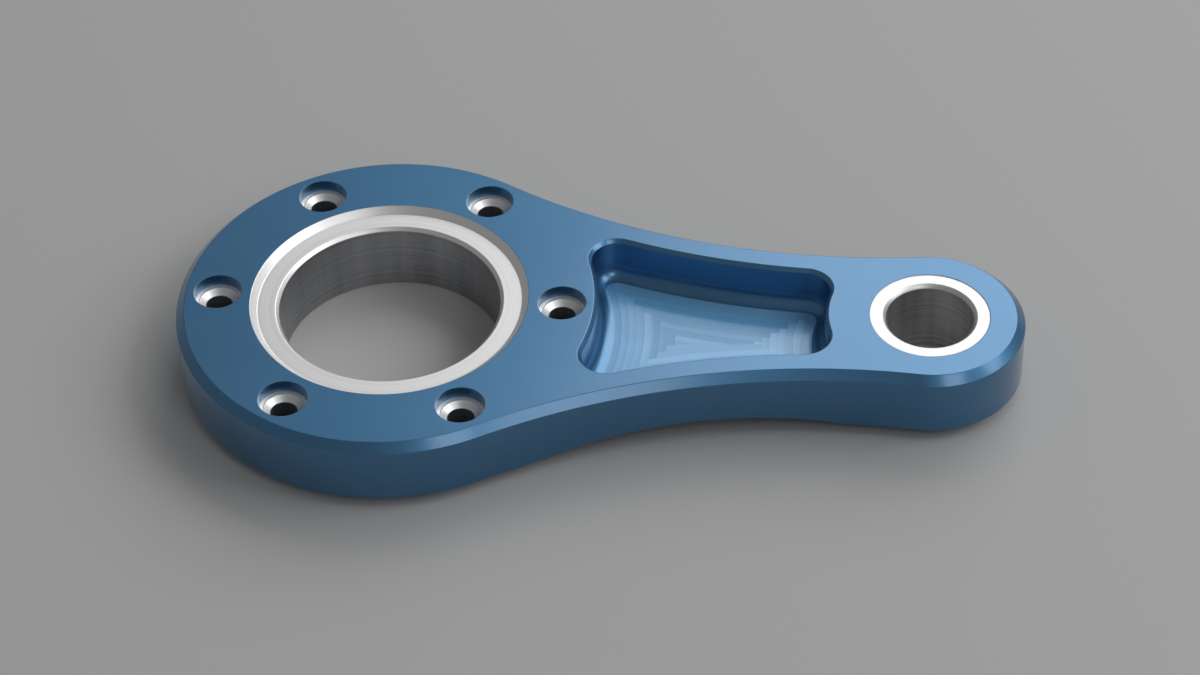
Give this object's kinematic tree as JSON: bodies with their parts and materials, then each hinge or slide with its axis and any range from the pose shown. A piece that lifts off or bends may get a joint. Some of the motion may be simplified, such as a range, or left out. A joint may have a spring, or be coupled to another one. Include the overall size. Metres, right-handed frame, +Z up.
{
  "type": "link arm",
  "caption": "Flat machined link arm: a round end with a seated main bore and a ring of counterbored screw holes, a waisted web with a lightening pocket, and a small pivot bore end.",
  "frame": {"origin": "on the main bore's axis, at the underside that the arm rests on", "axes": "+X from the main bore to the pivot bore, along the arm; +Z up along both bores, out of the counterbored top face"},
  "size_m": [0.1762, 0.089, 0.017],
  "materials": {
    "anodised_aluminium": "satin blue anodised, with bare turned metal in the bores, the seat, the pivot land and the screw seats"
  },
  "bodies": {
    "root": {"link_arm": "anodised_aluminium"}
  },
  "joints": []
}
